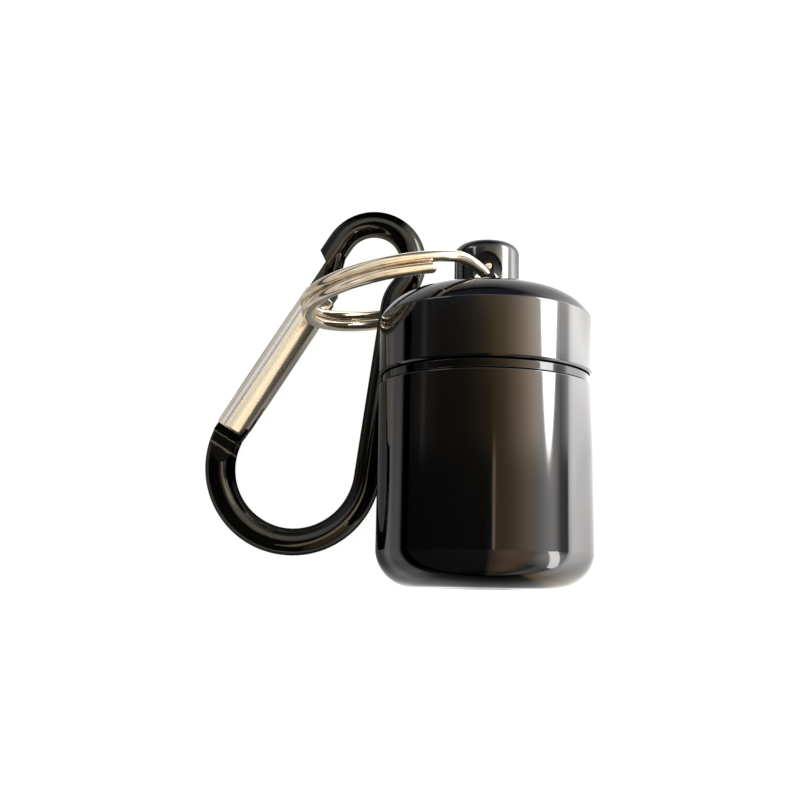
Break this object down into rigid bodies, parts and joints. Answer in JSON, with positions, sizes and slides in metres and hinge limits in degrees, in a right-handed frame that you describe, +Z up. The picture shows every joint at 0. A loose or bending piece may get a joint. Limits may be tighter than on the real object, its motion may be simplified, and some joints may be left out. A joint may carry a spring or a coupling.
{
  "type": "pill capsule keychain",
  "caption": "Screw-top metal pill capsule with a domed cap and drilled post, hung on a split key ring with a gourd-shaped spring-gate snap hook.",
  "frame": {"origin": "centre of the flat face at the capsule's base", "axes": "the keychain lies on a table with +Z up; +Y runs along the capsule from its base to its post, and the hook lies to the -X side"},
  "size_m": [0.0503, 0.0513, 0.027],
  "materials": {
    "capsule_metal": "mirror-polished gunmetal",
    "seal_rubber": "matte",
    "ring_steel": "polished nickel plate",
    "hook_black": "gloss black anodised",
    "gate_metal": "brushed along its length",
    "pin_steel": "ground",
    "spring_steel": "drawn wire"
  },
  "bodies": {
    "cap": {"capsule_cap": "capsule_metal"},
    "seal": {"neck_seal": "seal_rubber"},
    "capsule": {"capsule_body": "capsule_metal"},
    "ring": {"split_ring": "ring_steel"},
    "hook": {"hook_frame": "hook_black"},
    "gate": {"gate_sleeve": "gate_metal", "hinge_rivet": "pin_steel", "catch_pin": "pin_steel", "gate_spring": "spring_steel"},
    "plunger": {"spring_plunger": "pin_steel"}
  },
  "joints": [
    {"name": "seal_travel", "type": "slide", "parent": "cap", "child": "seal", "axis": [0, -1, 0], "range_m": [0, 0.00601]},
    {"name": "capsule_turn", "type": "hinge", "parent": "seal", "child": "capsule", "pos_m": [0, 0, 0], "axis": [0, -1, 0], "range_deg": [0, 1440]},
    {"name": "ring_swing", "type": "hinge", "parent": "cap", "child": "ring", "pos_m": [0, 0.03965, 0], "axis": [0.0663, 0, -0.9978], "range_deg": [-4, 158]},
    {"name": "hook_slide", "type": "slide", "parent": "ring", "child": "hook", "axis": [0.1294, 0.991, 0.0331], "range_m": [0, 0.01636]},
    {"name": "gate_open", "type": "hinge", "parent": "hook", "child": "gate", "pos_m": [-0.03228, 0.02268, -0.01098], "axis": [0.0372, 0.0285, -0.9989], "range_deg": [0, 25], "stiffness_Nm_per_rad": 0.02, "springref_deg": -22.92},
    {"name": "plunger_travel", "type": "slide", "parent": "gate", "child": "plunger", "axis": [0.5257, 0.8496, 0.0438], "range_m": [0, 0.00023], "deforming": ["gate_spring"]}
  ],
  "couplings": [
    {"joint": "seal_travel", "follows": "capsule_turn", "m_per_rad": 0.00023873},
    {"joint": "gate_open", "follows": "hook_slide", "rad_per_m": 26.667},
    {"joint": "plunger_travel", "follows": "hook_slide", "ratio": 0.013813}
  ]
}
